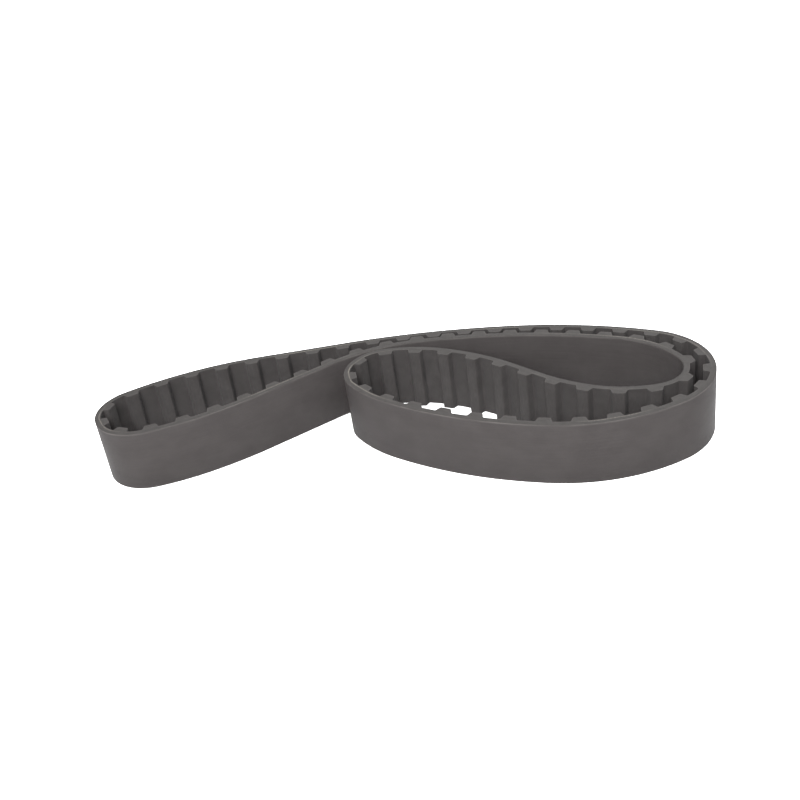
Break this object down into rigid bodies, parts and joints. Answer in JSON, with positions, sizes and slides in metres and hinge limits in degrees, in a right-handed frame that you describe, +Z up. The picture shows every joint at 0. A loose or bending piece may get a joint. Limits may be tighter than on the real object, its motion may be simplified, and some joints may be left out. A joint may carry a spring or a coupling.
{
  "type": "timing belt",
  "caption": "Endless synchronous belt with trapezoidal teeth on its inner side, laid on one edge in a loose folded coil.",
  "frame": {"origin": "middle of the coil's footprint, on the surface that its lower edge rests on", "axes": "+X along the coil's length, towards the right end where the strands lie nested; +Y towards the rear strand; +Z up, across the belt's width"},
  "size_m": [0.1784, 0.0652, 0.0191],
  "materials": {
    "rubber_back": "matt ground rubber",
    "tension_cord": "resin-dipped glass-fibre cord",
    "tooth_rubber": "matt moulded rubber",
    "tooth_facing": "fine woven nylon, rubber-soaked"
  },
  "bodies": {
    "rear_strand": {"backing_rear_run": "rubber_back", "cords_rear_run": "tension_cord", "teeth_rear_run": "tooth_rubber", "facing_rear_run": "tooth_facing", "backing_right_bend": "rubber_back", "cords_right_bend": "tension_cord", "teeth_right_bend": "tooth_rubber", "facing_right_bend": "tooth_facing"},
    "left_rear_run": {"backing_left_rear_run": "rubber_back", "cords_left_rear_run": "tension_cord", "teeth_left_rear_run": "tooth_rubber", "facing_left_rear_run": "tooth_facing"},
    "left_shoulder": {"backing_left_shoulder": "rubber_back", "cords_left_shoulder": "tension_cord", "teeth_left_shoulder": "tooth_rubber", "facing_left_shoulder": "tooth_facing"},
    "left_bend": {"backing_left_bend": "rubber_back", "cords_left_bend": "tension_cord", "teeth_left_bend": "tooth_rubber", "facing_left_bend": "tooth_facing"},
    "left_lower_bend": {"backing_left_lower_bend": "rubber_back", "cords_left_lower_bend": "tension_cord", "teeth_left_lower_bend": "tooth_rubber", "facing_left_lower_bend": "tooth_facing"},
    "left_front_run": {"backing_left_front_run": "rubber_back", "cords_left_front_run": "tension_cord", "teeth_left_front_run": "tooth_rubber", "facing_left_front_run": "tooth_facing"},
    "front_run": {"backing_front_run": "rubber_back", "cords_front_run": "tension_cord", "teeth_front_run": "tooth_rubber", "facing_front_run": "tooth_facing"},
    "front_shoulder": {"backing_front_shoulder": "rubber_back", "cords_front_shoulder": "tension_cord", "teeth_front_shoulder": "tooth_rubber", "facing_front_shoulder": "tooth_facing"},
    "loop_bend": {"backing_loop_bend": "rubber_back", "cords_loop_bend": "tension_cord", "teeth_loop_bend": "tooth_rubber", "facing_loop_bend": "tooth_facing"},
    "cross_run": {"backing_cross_run": "rubber_back", "cords_cross_run": "tension_cord", "teeth_cross_run": "tooth_rubber", "facing_cross_run": "tooth_facing"},
    "cross_bend": {"backing_cross_bend": "rubber_back", "cords_cross_bend": "tension_cord", "teeth_cross_bend": "tooth_rubber", "facing_cross_bend": "tooth_facing"},
    "inner_strand": {"backing_inner_bend": "rubber_back", "cords_inner_bend": "tension_cord", "teeth_inner_bend": "tooth_rubber", "facing_inner_bend": "tooth_facing", "backing_inner_run": "rubber_back", "cords_inner_run": "tension_cord", "teeth_inner_run": "tooth_rubber", "facing_inner_run": "tooth_facing", "backing_inner_end": "rubber_back", "cords_inner_end": "tension_cord", "teeth_inner_end": "tooth_rubber", "facing_inner_end": "tooth_facing"}
  },
  "joints": [
    {"name": "left_loop_sway", "type": "hinge", "parent": "rear_strand", "child": "left_rear_run", "pos_m": [-0.00983, 0.03131, 0.00953], "axis": [0, 0, 1], "range_deg": [-10, 10], "stiffness_Nm_per_rad": 0.02},
    {"name": "left_shoulder_flex", "type": "hinge", "parent": "left_rear_run", "child": "left_shoulder", "pos_m": [-0.05733, 0.02877, 0.00953], "axis": [0, 0, 1], "range_deg": [-6.47, 6.47], "stiffness_Nm_per_rad": 0.02},
    {"name": "left_bend_flex", "type": "hinge", "parent": "left_shoulder", "child": "left_bend", "pos_m": [-0.07558, 0.02341, 0.00953], "axis": [0, 0, 1], "range_deg": [-11.63, 11.63], "stiffness_Nm_per_rad": 0.02},
    {"name": "left_lower_bend_flex", "type": "hinge", "parent": "left_bend", "child": "left_lower_bend", "pos_m": [-0.08436, 0.00209, 0.00953], "axis": [0, 0, 1], "range_deg": [-9.45, 9.45], "stiffness_Nm_per_rad": 0.02},
    {"name": "left_front_run_flex", "type": "hinge", "parent": "left_lower_bend", "child": "left_front_run", "pos_m": [-0.05737, 0.00208, 0.00953], "axis": [0, 0, 1], "range_deg": [-4.11, 4.11], "stiffness_Nm_per_rad": 0.02},
    {"name": "front_loop_swing", "type": "hinge", "parent": "rear_strand", "child": "front_run", "pos_m": [0.06991, -0.02896, 0.00953], "axis": [0, 0, 1], "range_deg": [0, 8], "stiffness_Nm_per_rad": 0.02},
    {"name": "front_shoulder_flex", "type": "hinge", "parent": "front_run", "child": "front_shoulder", "pos_m": [0.01551, -0.01855, 0.00953], "axis": [0, 0, 1], "range_deg": [0, 6.21], "stiffness_Nm_per_rad": 0.02},
    {"name": "loop_bend_flex", "type": "hinge", "parent": "front_shoulder", "child": "loop_bend", "pos_m": [-0.00692, -0.00103, 0.00953], "axis": [0, 0, 1], "range_deg": [-9.69, 0], "stiffness_Nm_per_rad": 0.02},
    {"name": "cross_run_flex", "type": "hinge", "parent": "loop_bend", "child": "cross_run", "pos_m": [-0.00648, 0.02271, 0.00953], "axis": [0, 0, 1], "range_deg": [0, 5.4], "stiffness_Nm_per_rad": 0.02},
    {"name": "cross_bend_flex", "type": "hinge", "parent": "cross_run", "child": "cross_bend", "pos_m": [0.04075, -0.00435, 0.00953], "axis": [0, 0, 1], "range_deg": [0, 1.97], "stiffness_Nm_per_rad": 0.02},
    {"name": "inner_strand_flex", "type": "hinge", "parent": "cross_bend", "child": "inner_strand", "pos_m": [0.06476, -0.01882, 0.00953], "axis": [0, 0, 1], "range_deg": [-11.86, 0], "stiffness_Nm_per_rad": 0.02}
  ],
  "couplings": [
    {"joint": "left_shoulder_flex", "follows": "left_loop_sway", "ratio": 0.645},
    {"joint": "left_bend_flex", "follows": "left_loop_sway", "ratio": -1.1614},
    {"joint": "left_lower_bend_flex", "follows": "left_loop_sway", "ratio": 0.94299},
    {"joint": "left_front_run_flex", "follows": "left_loop_sway", "ratio": -0.40928},
    {"joint": "front_shoulder_flex", "follows": "front_loop_swing", "ratio": 0.77323},
    {"joint": "loop_bend_flex", "follows": "front_loop_swing", "ratio": -1.2091},
    {"joint": "cross_run_flex", "follows": "front_loop_swing", "ratio": 0.67215},
    {"joint": "cross_bend_flex", "follows": "front_loop_swing", "ratio": 0.24401},
    {"joint": "inner_strand_flex", "follows": "front_loop_swing", "ratio": -1.4803}
  ]
}
